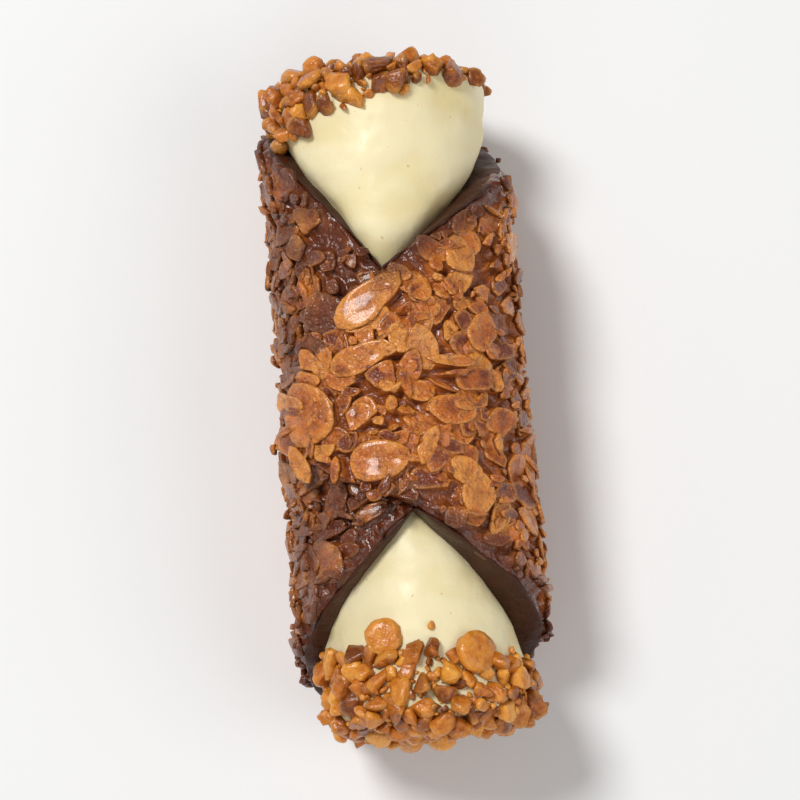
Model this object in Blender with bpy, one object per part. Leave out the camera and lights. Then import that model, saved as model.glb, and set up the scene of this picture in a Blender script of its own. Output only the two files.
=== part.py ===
"""A filled cannolo, lying on its side with its seam up.

A square of almond brittle is rolled corner over corner round a tube, so that it leaves a V-shaped notch at
each end. Dark chocolate lines it and turns over the edge of each notch, cream fills it from end to end, and
each end of the cream is dipped in chopped nuts.

The frame is in metres with +Z up. The tube's axis runs along Y, straight above the origin, which is the
middle of the flat strip that the cannolo rests on. An angle round the tube is 0 at the top and grows
towards +X. "Turn" is the angle rolled so far, from the sheet's inner corner to its outer one.
"""

import math

import bmesh
import bpy
from mathutils import Vector, noise

# Driving dimensions of the rolled shell.
SHELL_HALF_LENGTH = 0.0377
INNER_RADIUS = 0.0113
BRITTLE_THICKNESS = 0.0016
END_SPREAD = 0.0014
AXIS_HEIGHT = 0.01255
CORNER_WIDTH = 0.0012
EDGE_WOBBLE = 0.0004
BRITTLE_RELIEF = 0.0003
BRITTLE_LUMP_SIZE = 0.004

# How the sheet is rolled: its corners' angles and their places along the tube.
INNER_CORNER_ANGLE = math.radians(55)
OUTER_CORNER_ANGLE = math.radians(-72)
INNER_CORNER_Y = 0.0010
OUTER_CORNER_Y = -0.0045
LIFT_STARTS_ANGLE = math.radians(125)
LIFT_ENDS_ANGLE = math.radians(60)
OVERLAP_GAP = 0.0004

# The other layers.
GAP = 0.0003
LINING_THICKNESS = 0.0006
LIP_WIDTH = 0.0012
LIP_STEP = 0.0004
CREAM_HALF_LENGTH = 0.0380
SHOULDER = 0.0025
CREAM_CROWN = 0.0010
SWELL_STARTS = 0.0012
SWELL_ENDS = 0.0050
CRUST_THICKNESS = 0.0016
CRUST_GAP = 0.0005
CRUST_MARGIN = 0.0007
CRUST_EDGE_SHARE = 0.2
CRUST_LUMP_SIZE = 0.0035
CRUST_LUMPINESS = 0.45

# How finely each piece is divided.
SHEET_COLUMNS = 72
SHEET_ROWS = 10
LINING_COLUMNS = 56
LINING_STATIONS = 4
CREAM_COLUMNS = 36
CREAM_STATIONS = 24
SHOULDER_RINGS = 4
CRUST_SKIRT_RINGS = 3

SQUARENESS = 3.0
FULL_TURN = 2 * math.pi
CUTTER_SIZE = 0.1


class Notch:
    """The V-shaped opening at one end of the shell, how much the cream swells in it and sways towards +X, and
    how far the nuts reach along the cream."""

    def __init__(self, side, angle, depth, inner_rise, outer_rise, swell, sway, crust_reach, crust_lean):
        self.side = side
        self.angle = angle
        self.depth = depth
        self.inner_rise = inner_rise
        self.outer_rise = outer_rise
        self.swell = swell
        self.sway = sway
        self.crust_reach = crust_reach
        self.crust_lean = crust_lean

    def edge(self, angle):
        """How far from the tube's middle the shell ends, at an angle round it."""
        past = wrapped(angle - self.angle)
        rise = self.inner_rise if past < 0 else self.outer_rise
        share = 1 - (1 - abs(past) / math.pi) ** rise
        return self.depth + (SHELL_HALF_LENGTH - self.depth) * share


FAR = Notch(
    side=1,
    angle=math.radians(-2),
    depth=0.0132,
    inner_rise=2.4,
    outer_rise=1.3,
    swell=0.0006,
    sway=0.0003,
    crust_reach=0.0040,
    crust_lean=-0.0035,
)
NEAR = Notch(
    side=-1,
    angle=math.radians(3.5),
    depth=0.0140,
    inner_rise=1.55,
    outer_rise=1.5,
    swell=-0.0008,
    sway=0.0012,
    crust_reach=0.0080,
    crust_lean=-0.0010,
)


def wrapped(angle):
    """The same angle, between minus half a turn and half a turn."""
    return (angle + math.pi) % FULL_TURN - math.pi


def smooth_step(start, end, value):
    share = min(max((value - start) / (end - start), 0.0), 1.0)
    return share * share * (3 - 2 * share)


def mixed(low, high, share):
    return low + (high - low) * share


def on_tube(angle, y, radius):
    """The point at this angle round the tube, this far along it and this far from its axis."""
    return Vector((radius * math.sin(angle), y, AXIS_HEIGHT + radius * math.cos(angle)))


def spread(angle, y):
    """How far the shell opens outwards towards its ends: fully at the top, and not at all underneath."""
    return END_SPREAD * (y / SHELL_HALF_LENGTH) ** 2 * (1 + math.cos(angle)) / 2


def loft(name, rings, poles=None):
    """A closed mesh through rings of points. The first and last ring run to the poles, or to each other."""
    mesh = bmesh.new()
    verts = [[mesh.verts.new(point) for point in ring] for ring in rings]
    count = len(rings[0])
    pairs = list(zip(verts, verts[1:]))
    if poles is None:
        pairs.append((verts[-1], verts[0]))
    for one, other in pairs:
        for i in range(count):
            j = (i + 1) % count
            mesh.faces.new((one[i], one[j], other[j], other[i]))
    for pole, ring in zip(poles or (), (verts[0], verts[-1])):
        tip = mesh.verts.new(pole)
        for i in range(count):
            mesh.faces.new((tip, ring[i], ring[(i + 1) % count]))
    bmesh.ops.recalc_face_normals(mesh, faces=mesh.faces)
    return placed(name, mesh)


def placed(name, mesh):
    """A smooth-shaded object from a bmesh, in the scene."""
    data = bpy.data.meshes.new(name)
    mesh.to_mesh(data)
    mesh.free()
    data.shade_smooth()
    data.set_sharp_from_angle(angle=math.radians(40))
    made = bpy.data.objects.new(name, data)
    bpy.context.scene.collection.objects.link(made)
    return made


def painted(made, colour, roughness):
    material = bpy.data.materials.new(made.name)
    material.use_nodes = True
    shader = material.node_tree.nodes["Principled BSDF"]
    shader.inputs["Base Color"].default_value = (*colour, 1.0)
    shader.inputs["Roughness"].default_value = roughness
    shader.inputs["Metallic"].default_value = 0.0
    made.data.materials.append(material)


# The brittle shell.


def sheet_edge(notch, turn):
    """Where the sheet's edge on one side lies along the tube, once this much of it is rolled."""
    angle = INNER_CORNER_ANGLE - turn
    to_inner_corner = INNER_CORNER_ANGLE - notch.angle
    to_outer_corner = notch.angle - OUTER_CORNER_ANGLE
    last_turn = to_inner_corner + FULL_TURN
    if turn < to_inner_corner:
        y = mixed(INNER_CORNER_Y, notch.side * notch.depth, turn / to_inner_corner)
    elif turn > last_turn:
        y = mixed(notch.side * notch.depth, OUTER_CORNER_Y, (turn - last_turn) / to_outer_corner)
    else:
        y = notch.side * notch.edge(angle)
    return y + EDGE_WOBBLE * noise.noise(Vector((3 * turn, 7 * notch.side, 0)))


def sheet_point(turn, share):
    """A point on the sheet's inner face: share runs from its near edge to its far edge."""
    near, far = sheet_edge(NEAR, turn), sheet_edge(FAR, turn)
    half = math.hypot((far - near) / 2, CORNER_WIDTH)
    y = (near + far) / 2 + mixed(-half, half, share)
    angle = INNER_CORNER_ANGLE - turn
    lift = smooth_step(
        INNER_CORNER_ANGLE - LIFT_STARTS_ANGLE + FULL_TURN,
        INNER_CORNER_ANGLE - LIFT_ENDS_ANGLE + FULL_TURN,
        turn,
    )
    radius = INNER_RADIUS + spread(angle, y) + lift * (BRITTLE_THICKNESS + OVERLAP_GAP)
    return on_tube(angle, y, radius)


def make_brittle_shell():
    """The rolled sheet, thickened outwards, lumpy outside, and cut flat where it rests."""
    whole_turn = INNER_CORNER_ANGLE - OUTER_CORNER_ANGLE + FULL_TURN
    mesh = bmesh.new()
    bmesh.ops.create_grid(mesh, x_segments=SHEET_COLUMNS, y_segments=SHEET_ROWS, size=0.5)
    for vert in mesh.verts:
        vert.co = sheet_point((0.5 - vert.co.x) * whole_turn, vert.co.y + 0.5)
    shell = placed("brittle_shell", mesh)
    outside = shell.vertex_groups.new(name="outside")

    thicken = shell.modifiers.new("brittle thickness", "SOLIDIFY")
    thicken.thickness = BRITTLE_THICKNESS
    thicken.offset = 1
    thicken.shell_vertex_group = outside.name

    lumps = bpy.data.textures.new("brittle lumps", "CLOUDS")
    lumps.noise_scale = BRITTLE_LUMP_SIZE
    roughen = shell.modifiers.new("lumps", "DISPLACE")
    roughen.texture = lumps
    roughen.texture_coords = "GLOBAL"
    roughen.vertex_group = outside.name
    roughen.strength = 2 * BRITTLE_RELIEF

    flatten = shell.modifiers.new("flat to rest on", "BOOLEAN")
    flatten.operation = "DIFFERENCE"
    flatten.object = table_cutter()
    painted(shell, (0.30, 0.12, 0.035), 0.35)


def table_cutter():
    """A block below the plane that the shell rests on."""
    mesh = bmesh.new()
    bmesh.ops.create_cube(mesh, size=CUTTER_SIZE)
    bmesh.ops.translate(mesh, verts=mesh.verts, vec=(0, 0, -CUTTER_SIZE / 2))
    cutter = placed("table_cutter", mesh)
    cutter.hide_render = True
    cutter.display_type = "WIRE"
    return cutter


# The chocolate lining.


def lip_radius(angle, notch):
    """The outer radius of the chocolate that covers the shell's cut edge. It follows the lifted outer flap."""
    past = wrapped(angle - notch.angle)
    lift = smooth_step(LIFT_STARTS_ANGLE, LIFT_ENDS_ANGLE, past) if past > 0 else 0.0
    face = INNER_RADIUS + spread(angle, notch.edge(angle))
    return face + BRITTLE_THICKNESS + lift * (BRITTLE_THICKNESS + OVERLAP_GAP) - LIP_STEP


def lining_section(angle):
    """A closed loop round the lining's wall at one angle: out along its inside, and back along its outside."""
    inner = INNER_RADIUS - GAP - LINING_THICKNESS
    outer = INNER_RADIUS - GAP
    ends = {notch.side: notch.edge(angle) + GAP + EDGE_WOBBLE for notch in (FAR, NEAR)}
    shares = [i / LINING_STATIONS for i in range(LINING_STATIONS + 1)]
    loop = []
    for share in shares:
        y = mixed(-ends[-1], ends[1], share)
        loop.append(on_tube(angle, y, inner + spread(angle, y)))
    loop += lip_section(angle, FAR, ends[1], inner, outer)
    for share in reversed(shares[1:-1]):
        y = mixed(-ends[-1], ends[1], share)
        loop.append(on_tube(angle, y, outer + spread(angle, y)))
    loop += reversed(lip_section(angle, NEAR, ends[-1], inner, outer))
    return loop


def lip_section(angle, notch, start, inner, outer):
    """The lip past the shell's edge: its inner rim, its rounded top and its foot behind the cut edge."""
    top = lip_radius(angle, notch)
    opened = spread(angle, start)
    tip = start + LIP_WIDTH
    points = (
        (tip, inner + opened),
        (tip, top - LIP_STEP),
        (mixed(start, tip, 0.6), top),
        (start, top),
        (start, outer + opened),
    )
    return [on_tube(angle, notch.side * y, radius) for y, radius in points]


def make_chocolate_lining():
    step = FULL_TURN / LINING_COLUMNS
    sections = [lining_section(i * step) for i in range(LINING_COLUMNS)]
    painted(loft("chocolate_lining", sections), (0.035, 0.016, 0.010), 0.4)


# The cream.


def cream_radius(angle, y):
    """The cream fits inside the lining, and changes its width and rises where a notch leaves it free."""
    notch = FAR if y > 0 else NEAR
    free = abs(y) - notch.edge(angle) - GAP - EDGE_WOBBLE - LIP_WIDTH - GAP
    swell = notch.swell + notch.sway * math.sin(angle) + CREAM_CROWN * (1 + math.cos(angle)) / 2
    swell *= smooth_step(SWELL_STARTS, SWELL_ENDS, free)
    return INNER_RADIUS - 2 * GAP - LINING_THICKNESS + spread(angle, y) + swell


def cream_point(notch, angle, travel):
    """A point on the cream near one end. Travel is 0 at the end's middle and 1 at its shoulder, and from
    there it grows by 1 for each shoulder's length back along the tube."""
    shoulder_y = CREAM_HALF_LENGTH - SHOULDER
    if travel >= 1:
        y = shoulder_y - (travel - 1) * SHOULDER
        return on_tube(angle, notch.side * y, cream_radius(angle, notch.side * y))
    slant = (1 - travel) * math.pi / 2
    y = shoulder_y + SHOULDER * math.sin(slant) ** (2 / SQUARENESS)
    radius = cream_radius(angle, notch.side * shoulder_y) * math.cos(slant) ** (2 / SQUARENESS)
    return on_tube(angle, notch.side * y, radius)


def make_cream_filling():
    angles = [i * FULL_TURN / CREAM_COLUMNS for i in range(CREAM_COLUMNS)]
    shoulder_y = CREAM_HALF_LENGTH - SHOULDER
    rings = []
    for i in range(1, SHOULDER_RINGS):
        rings.append([cream_point(NEAR, angle, i / SHOULDER_RINGS) for angle in angles])
    for i in range(CREAM_STATIONS + 1):
        y = mixed(-shoulder_y, shoulder_y, i / CREAM_STATIONS)
        rings.append([on_tube(angle, y, cream_radius(angle, y)) for angle in angles])
    for i in range(SHOULDER_RINGS - 1, 0, -1):
        rings.append([cream_point(FAR, angle, i / SHOULDER_RINGS) for angle in angles])
    poles = [on_tube(0, side * CREAM_HALF_LENGTH, 0) for side in (-1, 1)]
    painted(loft("cream_filling", rings, poles), (0.91, 0.83, 0.56), 0.5)


# The chopped nuts on the two ends.


def crust_edge(notch, angle):
    """How far the nuts travel from the middle of the end, clear of the shell and its lip."""
    rim = notch.edge(angle) + 2 * GAP + EDGE_WOBBLE + LIP_WIDTH + CRUST_MARGIN
    reach = notch.crust_reach + notch.crust_lean * math.sin(angle)
    y = max(CREAM_HALF_LENGTH - reach, min(rim, CREAM_HALF_LENGTH - SHOULDER / 3))
    shoulder_y = CREAM_HALF_LENGTH - SHOULDER
    if y <= shoulder_y:
        return 1 + (shoulder_y - y) / SHOULDER
    return 1 - math.asin(((y - shoulder_y) / SHOULDER) ** (SQUARENESS / 2)) * 2 / math.pi


def crust_travel(ring, edge):
    """How far out a ring of the nuts lies. The first ones follow the cream's own rings round its shoulder."""
    knee = min(1.0, 0.8 * edge)
    if ring <= SHOULDER_RINGS:
        return knee * ring / SHOULDER_RINGS
    return mixed(knee, edge, (ring - SHOULDER_RINGS) / CRUST_SKIRT_RINGS)


def cream_normal(notch, angle, travel):
    """The way out of the cream's surface, from two short steps along it."""
    step = 1e-3
    here = cream_point(notch, angle, travel)
    back = cream_point(notch, angle, travel + step) - here
    round_it = cream_point(notch, angle + step, travel) - here
    return (notch.side * back.cross(round_it)).normalized()


def make_nut_crust(name, notch):
    """A lumpy cap over the end of the cream, thinning out at its edge."""
    angles = [i * FULL_TURN / CREAM_COLUMNS for i in range(CREAM_COLUMNS)]
    inner, outer = [], []
    ring_count = SHOULDER_RINGS + CRUST_SKIRT_RINGS
    for i in range(1, ring_count + 1):
        fullness = mixed(CRUST_EDGE_SHARE, 1, math.sqrt(1 - (i / ring_count) ** 4))
        inner_ring, outer_ring = [], []
        for angle in angles:
            travel = crust_travel(i, crust_edge(notch, angle))
            point = cream_point(notch, angle, travel)
            normal = cream_normal(notch, angle, travel)
            lump = 1 + CRUST_LUMPINESS * noise.noise(point / CRUST_LUMP_SIZE)
            inner_ring.append(point + normal * CRUST_GAP)
            outer_ring.append(point + normal * (CRUST_GAP + CRUST_THICKNESS * fullness * lump))
        inner.append(inner_ring)
        outer.append(outer_ring)
    end_y = notch.side * (CREAM_HALF_LENGTH + CRUST_GAP)
    poles = (
        on_tube(0, end_y, 0),
        on_tube(0, end_y + notch.side * CRUST_THICKNESS, 0),
    )
    painted(loft(name, inner + outer[::-1], poles), (0.58, 0.25, 0.06), 0.35)


def clear_scene():
    for made in list(bpy.data.objects):
        bpy.data.objects.remove(made)


def main():
    clear_scene()
    make_brittle_shell()
    make_chocolate_lining()
    make_cream_filling()
    make_nut_crust("nut_crust_far", FAR)
    make_nut_crust("nut_crust_near", NEAR)


main()
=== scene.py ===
"""Almond brittle cannolo: the finished looks of a filled cannolo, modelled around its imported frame.

The frame is in metres with +Z up. The tube's axis runs along Y, straight above the origin. An angle round
the tube is 0 at the top and grows towards +X. "Turn" is the angle that the brittle sheet has been rolled by,
from its inner corner to its outer one.
"""

import math

import bmesh
import bpy
import numpy as np
from bpy.props import FloatProperty, FloatVectorProperty, IntProperty, PointerProperty
from bpy.types import Operator, Panel, PropertyGroup
from mathutils import Matrix, Vector, noise


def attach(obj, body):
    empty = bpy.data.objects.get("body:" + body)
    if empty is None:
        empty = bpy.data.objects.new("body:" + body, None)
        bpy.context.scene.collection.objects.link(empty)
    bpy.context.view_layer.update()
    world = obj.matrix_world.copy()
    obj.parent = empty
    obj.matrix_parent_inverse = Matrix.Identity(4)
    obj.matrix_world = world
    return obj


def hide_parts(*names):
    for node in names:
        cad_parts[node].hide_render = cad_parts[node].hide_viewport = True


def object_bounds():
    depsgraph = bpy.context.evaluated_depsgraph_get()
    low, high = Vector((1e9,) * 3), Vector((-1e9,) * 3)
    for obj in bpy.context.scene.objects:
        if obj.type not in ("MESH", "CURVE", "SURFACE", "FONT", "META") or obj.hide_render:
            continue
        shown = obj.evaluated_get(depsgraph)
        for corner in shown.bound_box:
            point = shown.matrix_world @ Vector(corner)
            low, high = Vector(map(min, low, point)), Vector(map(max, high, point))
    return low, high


bl_info = {
    "name": "Almond Brittle Cannolo",
    "version": (1, 0, 0),
    "blender": (4, 5, 0),
    "location": "View3D > Sidebar > Cannolo",
    "description": "Models the brittle, almonds, chocolate, cream and nuts of a filled cannolo",
    "category": "Add Mesh",
}

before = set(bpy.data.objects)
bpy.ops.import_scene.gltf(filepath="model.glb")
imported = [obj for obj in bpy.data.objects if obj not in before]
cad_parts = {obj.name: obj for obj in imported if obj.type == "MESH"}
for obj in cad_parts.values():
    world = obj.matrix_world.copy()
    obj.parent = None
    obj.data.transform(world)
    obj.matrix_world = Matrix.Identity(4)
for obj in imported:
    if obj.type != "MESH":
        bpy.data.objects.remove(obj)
CAD_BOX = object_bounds()

MM = 0.001
FULL_TURN = 2 * math.pi

# The roll, as the frame's solids have it.
SHELL_HALF_LENGTH = 0.0377
INNER_RADIUS = 0.0113
SHEET_STEP = 0.0020
END_SPREAD = 0.0014
AXIS_HEIGHT = 0.01255
CORNER_WIDTH = 0.0012
INNER_CORNER_ANGLE = math.radians(55)
OUTER_CORNER_ANGLE = math.radians(-72)
INNER_CORNER_Y = 0.0010
OUTER_CORNER_Y = -0.0045
LIFT_STARTS_ANGLE = math.radians(125)
LIFT_ENDS_ANGLE = math.radians(60)
WHOLE_TURN = INNER_CORNER_ANGLE - OUTER_CORNER_ANGLE + FULL_TURN

# The cream, as the frame's solids have it.
CREAM_HALF_LENGTH = 0.0380
CREAM_SHOULDER = 0.0025
CREAM_LIP = 0.0003
CREAM_ROUNDING = 0.0020
CREAM_BLUNTNESS = 0.16
CREAM_GAP = 0.0009
SQUARENESS = 3.0


def rgb(red, green, blue):
    """A colour as Blender keeps it, from how it looks on a screen, where each part goes up to 255."""
    return tuple(
        part / 12.92 if part <= 0.04045 else ((part + 0.055) / 1.055) ** 2.4
        for part in (red / 255, green / 255, blue / 255)
    )


def length(name, description, default):
    return FloatProperty(name=name, description=description, default=default, unit="LENGTH", precision=5)


def colour(name, description, default):
    return FloatVectorProperty(
        name=name, description=description, default=default, size=3, subtype="COLOR", min=0.0, max=1.0
    )


# What a user would change.


class BrittleSettings(PropertyGroup):
    thickness: length("Sheet thickness", "Caramel sheet between the almonds", 0.00125)
    relief: length("Relief", "Height of the caramel's bubbles and lumps", 0.00035)
    ragged_edge: length("Ragged edge", "How far the sheet's outline wanders", 0.0006)
    caramel: colour("Caramel", "Thick caramel between the almonds", rgb(206, 116, 46))
    # Used as painted shade in the sheet's low spots, and through noise as the caramel's own darker tone.
    dark_and_shaded_caramel: colour("Dark caramel", "Caramel deep in the gaps", rgb(140, 68, 24))


class AlmondSettings(PropertyGroup):
    full_slices: IntProperty(name="Full slices", description="Whole almond slices", default=24, min=0)
    pieces: IntProperty(name="Pieces", description="Broken slices", default=640, min=0)
    slivers: IntProperty(name="Slivers", description="Thin broken strips", default=320, min=0)
    crumbs: IntProperty(name="Crumbs", description="Small bits between them", default=420, min=0)
    slice_length: length("Slice length", "Length of a whole slice", 0.0074)
    slice_thickness: length("Slice thickness", "Thickness of a slice", 0.0005)
    glaze: FloatProperty(name="Glaze", description="How far caramel drowns almonds", default=0.82, min=0.0)
    # Also used for the painted highlight along each flake's edge.
    golden: colour("Golden", "Lightest toasted almond", rgb(234, 152, 66))
    amber: colour("Amber", "Usual caramelised almond", rgb(208, 112, 36))
    # Also darkened further for the painted shade along each flake's side.
    deep_and_shade: colour("Deep", "Darkest caramelised almond", rgb(122, 52, 18))


class ChocolateSettings(PropertyGroup):
    thickness: length("Thickness", "Chocolate on the inner wall", 0.0007)
    rim_reach: length("Rim reach", "How far it runs over the brittle's edge", 0.0004)
    shade: colour("Chocolate", "Dark chocolate", rgb(78, 44, 28))
    smear: colour("Smear", "Chocolate rubbed thinly on the brittle", rgb(96, 42, 18))


class CreamSettings(PropertyGroup):
    ripple: length("Ripple", "Height of the soft waves left by piping", 0.00034)
    crown: length("Crown", "How far the cream rises in the notches", 0.0014)
    ivory: colour("Ivory", "The cream", rgb(252, 237, 192))
    # Painted shade for the hollows of the cream's ripples.
    shaded_fold: colour("Fold", "The cream in its hollows", rgb(246, 226, 168))
    speck: colour("Speck", "Specks of vanilla and caramel", rgb(214, 170, 105))


class NutSettings(PropertyGroup):
    grain: length("Grain", "Usual width of a chopped nut", 0.0033)
    # Also used for the painted highlight on the grains' corners and edges.
    bright: colour("Bright", "Lightest caramelised nut", rgb(246, 168, 62))
    golden: colour("Golden", "Usual caramelised nut", rgb(208, 118, 30))
    # Also used for the painted shade under the grains.
    toasted: colour("Toasted", "Darkest caramelised nut", rgb(124, 60, 14))


class StageSettings(PropertyGroup):
    floor: colour("Floor", "The pale table", (0.96, 0.96, 0.957))
    lens: FloatProperty(name="Lens", description="Focal length", default=110.0, unit="CAMERA")
    distance: length("Distance", "From the lens to the cannolo", 0.285)
    elevation: FloatProperty(
        name="Elevation",
        description="How steeply the camera looks down",
        default=math.radians(81),
        subtype="ANGLE",
    )
    roll: FloatProperty(
        name="Roll",
        description="How far the far end leans to the left",
        default=math.radians(4.6),
        subtype="ANGLE",
    )


# The roll's shape. Every function here takes numbers or arrays.


class Notch:
    """The V-shaped opening at one end of the shell, how much the cream swells in it and sways towards +X, how
    far the nuts reach along the cream, and how light they are. The far end's nuts are set darker, mostly as
    painted shade and partly as their own darker colour."""

    def __init__(
        self, side, angle, depth, inner_rise, outer_rise, swell, sway, nut_reach, nut_lean, nut_tone_and_shade
    ):
        self.side = side
        self.angle = angle
        self.depth = depth
        self.inner_rise = inner_rise
        self.outer_rise = outer_rise
        self.swell = swell
        self.sway = sway
        self.nut_reach = nut_reach
        self.nut_lean = nut_lean
        self.nut_tone_and_shade = nut_tone_and_shade

    def edge(self, angle, blunt=0.0):
        """How far from the tube's middle the shell ends, at an angle round it. A blunt tip has no corner."""
        past = wrapped(angle - self.angle)
        rise = np.where(past < 0, self.inner_rise, self.outer_rise)
        away = np.hypot(past, blunt) - blunt * np.exp(-((past / 0.35) ** 2))
        share = 1 - (1 - np.minimum(away / math.pi, 1)) ** rise
        return self.depth + (SHELL_HALF_LENGTH - self.depth) * share


FAR = Notch(
    side=1,
    angle=math.radians(-2),
    depth=0.0132,
    inner_rise=2.4,
    outer_rise=1.3,
    swell=0.0006,
    sway=0.0003,
    nut_reach=0.0040,
    nut_lean=-0.0035,
    # Darker than at the near end: mostly painted shade over these nuts, partly their own darker colour.
    nut_tone_and_shade=0.3,
)
NEAR = Notch(
    side=-1,
    angle=math.radians(3.5),
    depth=0.0140,
    inner_rise=1.55,
    outer_rise=1.5,
    swell=-0.0008,
    sway=0.0012,
    nut_reach=0.0074,
    nut_lean=-0.0010,
    nut_tone_and_shade=0.5,
)


def wrapped(angle):
    """The same angle, between minus half a turn and half a turn."""
    return (angle + math.pi) % FULL_TURN - math.pi


def smooth_step(start, end, value):
    share = np.clip((value - start) / (end - start), 0.0, 1.0)
    return share * share * (3 - 2 * share)


def mixed(low, high, share):
    return low + (high - low) * share


def on_tube(angle, y, radius):
    """Points at these angles round the tube, this far along it and this far from its axis."""
    angle, y, radius = np.broadcast_arrays(angle, y, radius)
    return np.stack((radius * np.sin(angle), y, AXIS_HEIGHT + radius * np.cos(angle)), axis=-1)


def spread(angle, y):
    """How far the shell opens outwards towards its ends: fully at the top, and not at all underneath."""
    return END_SPREAD * (y / SHELL_HALF_LENGTH) ** 2 * (1 + np.cos(angle)) / 2


def angle_at(turn):
    return INNER_CORNER_ANGLE - turn


def roll_radius(turn, y):
    """The radius of the sheet's inner face. Its last stretch lies on the layer below."""
    lift = smooth_step(
        INNER_CORNER_ANGLE - LIFT_STARTS_ANGLE + FULL_TURN,
        INNER_CORNER_ANGLE - LIFT_ENDS_ANGLE + FULL_TURN,
        turn,
    )
    return INNER_RADIUS + spread(angle_at(turn), y) + lift * SHEET_STEP


def flattened(turn, radius):
    """The radius, cut back where it would go below the table."""
    down = -np.cos(angle_at(turn))
    limit = np.where(down > 0.5, AXIS_HEIGHT / np.maximum(down, 0.5), 1.0)
    return np.minimum(radius, limit)


def sheet_edge(notch, turn):
    """Where the sheet's edge on one side lies along the tube, once this much of it is rolled."""
    to_inner_corner = INNER_CORNER_ANGLE - notch.angle
    to_outer_corner = notch.angle - OUTER_CORNER_ANGLE
    last_turn = to_inner_corner + FULL_TURN
    tip = notch.side * notch.depth
    inner = mixed(INNER_CORNER_Y, tip, turn / to_inner_corner)
    outer = mixed(tip, OUTER_CORNER_Y, (turn - last_turn) / to_outer_corner)
    middle = notch.side * notch.edge(angle_at(turn))
    return np.where(turn < to_inner_corner, inner, np.where(turn > last_turn, outer, middle))


def edge_distance(turn, y):
    """How far a point of the sheet is from the nearer edge, measured square to a 45 degree edge."""
    inside = np.minimum(sheet_edge(FAR, turn) - y, y - sheet_edge(NEAR, turn))
    return inside * math.sqrt(0.5)


def wander(points, scale, seed):
    """Smooth noise between about -1 and 1 at each point."""
    points = np.asarray(points)
    shift = np.array((17.3, 5.1, 11.7)) * seed
    flat = points.reshape(-1, 3) / scale + shift
    values = np.array([noise.noise(Vector(point)) for point in flat])
    return values.reshape(points.shape[:-1])


def cells(points, scale, seed):
    """How far each point is from the border of its cell: 0 on the border, up to about 1 in the middle."""
    points = np.asarray(points)
    flat = points.reshape(-1, 3) / scale + seed * 7.7
    values = []
    for point in flat:
        distances = noise.voronoi(Vector(point))[0]
        values.append(distances[1] - distances[0])
    return np.array(values).reshape(points.shape[:-1])


def unrolled(turn, y):
    """Sheet points laid out flat, for noise that follows the sheet and not the space around it."""
    turn, y = np.broadcast_arrays(turn, y)
    return np.stack((turn * INNER_RADIUS, y, np.zeros_like(y)), axis=-1)


def chocolate_smear(turn, y):
    """How much chocolate is rubbed on the sheet: along the notches, and on the layer beside the flap."""
    flat = unrolled(turn, y)
    patchy = wander(flat, 0.0034, 3) + 0.5 * wander(flat, 0.0012, 4)
    in_notches = smooth_step(0.75, 1.1, turn) * (1 - smooth_step(7.15, 7.5, turn))
    band = 1 - smooth_step(0.0002, 0.0030 + 0.0016 * patchy, edge_distance(turn, y))
    beside_flap = smooth_step(0.6, 0.9, turn) * (1 - smooth_step(1.9, 2.9, turn))
    rubbed = 0.92 * beside_flap * smooth_step(-0.9, 0.2, patchy)
    return np.clip(np.maximum(band * in_notches, rubbed), 0, 1)


# Making meshes.


def tube_faces(stations, count, first=0):
    """Quads between successive closed rings that each have this many points."""
    i = np.arange(stations - 1)[:, None]
    j = np.arange(count)[None, :]
    after = (j + 1) % count
    corners = (i * count + j, i * count + after, (i + 1) * count + after, (i + 1) * count + j)
    return (np.stack(corners, axis=-1).reshape(-1, 4) + first).tolist()


def fan_faces(centre, first, count):
    """Triangles between a centre point and a closed ring."""
    return [(centre, first + i, first + (i + 1) % count) for i in range(count)]


def make_piece(name, points, faces, marks=None):
    """A smooth object from points and faces, with a number on each point for every mark."""
    data = bpy.data.meshes.new(name)
    data.from_pydata(np.asarray(points).reshape(-1, 3).tolist(), [], faces)
    shaped = bmesh.new()
    shaped.from_mesh(data)
    bmesh.ops.recalc_face_normals(shaped, faces=shaped.faces)
    shaped.to_mesh(data)
    shaped.free()
    for mark, values in (marks or {}).items():
        layer = data.attributes.new(mark, "FLOAT", "POINT")
        layer.data.foreach_set("value", np.asarray(values, dtype=np.float32).ravel())
    data.shade_smooth()
    piece = bpy.data.objects.new(name, data)
    bpy.context.scene.collection.objects.link(piece)
    return piece


def fit(piece, material, slot, *nodes):
    """Gives a piece its material, hangs it on the root body, and hides the solids it stands for."""
    piece.data.materials.append(material)
    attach(piece, "root")
    if nodes:
        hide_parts(*nodes)


# Making materials.


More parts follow.
